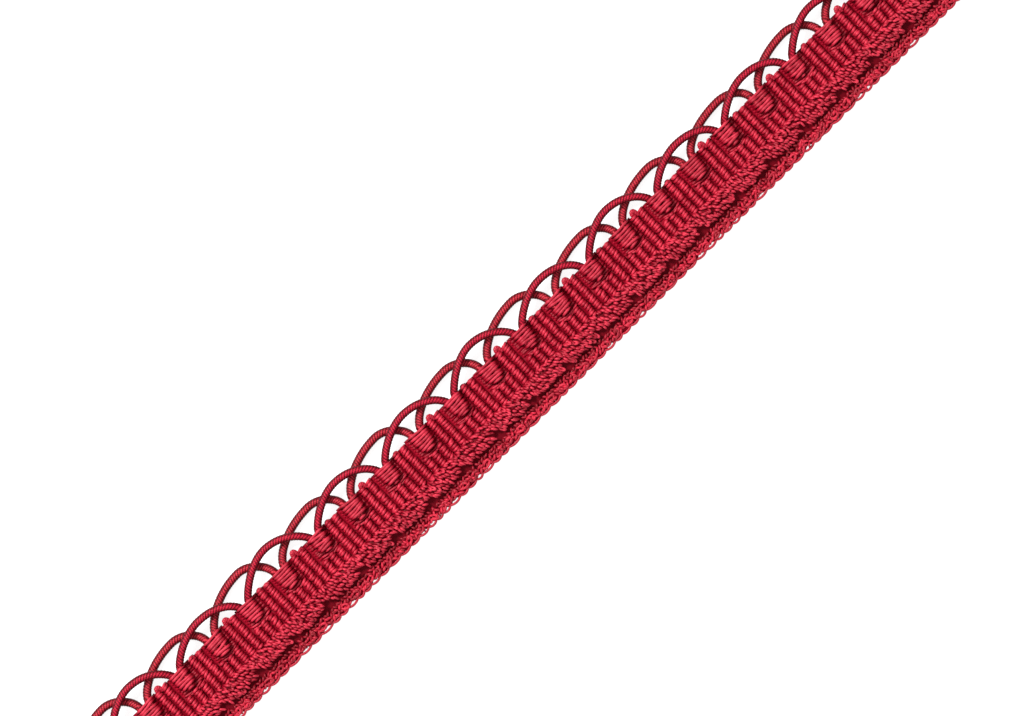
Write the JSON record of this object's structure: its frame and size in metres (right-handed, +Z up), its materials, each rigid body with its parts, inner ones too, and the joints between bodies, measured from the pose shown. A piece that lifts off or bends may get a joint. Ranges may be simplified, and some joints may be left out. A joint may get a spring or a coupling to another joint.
{
  "type": "loop-edged gimp braid trim",
  "caption": "Flat cut length of braided furnishing trim: interlaced cord loops along one edge, a ribbed band, a rope-like scalloped edge and a thin sewing flange.",
  "frame": {"origin": "middle of the strip's underside, where it rests on the surface", "axes": "+X along the strip, +Y across it towards the loops, +Z up out of the ribbed face"},
  "size_m": [0.2, 0.0182, 0.0032],
  "materials": {
    "band_thread": "satin crimson rayon thread, rep weave",
    "edge_thread": "satin crimson rayon thread in fanned floats",
    "flange_thread": "crimson thread, chain stitched",
    "front_cord_wrapping": "fine crimson thread wound round a core",
    "back_cord_wrapping": "fine warm crimson thread wound round a core"
  },
  "bodies": {
    "root": {"ribbed_band": "band_thread", "scalloped_edge": "edge_thread", "sewing_flange": "flange_thread", "loop_cord_front": "front_cord_wrapping", "loop_cord_back": "back_cord_wrapping"}
  },
  "joints": []
}
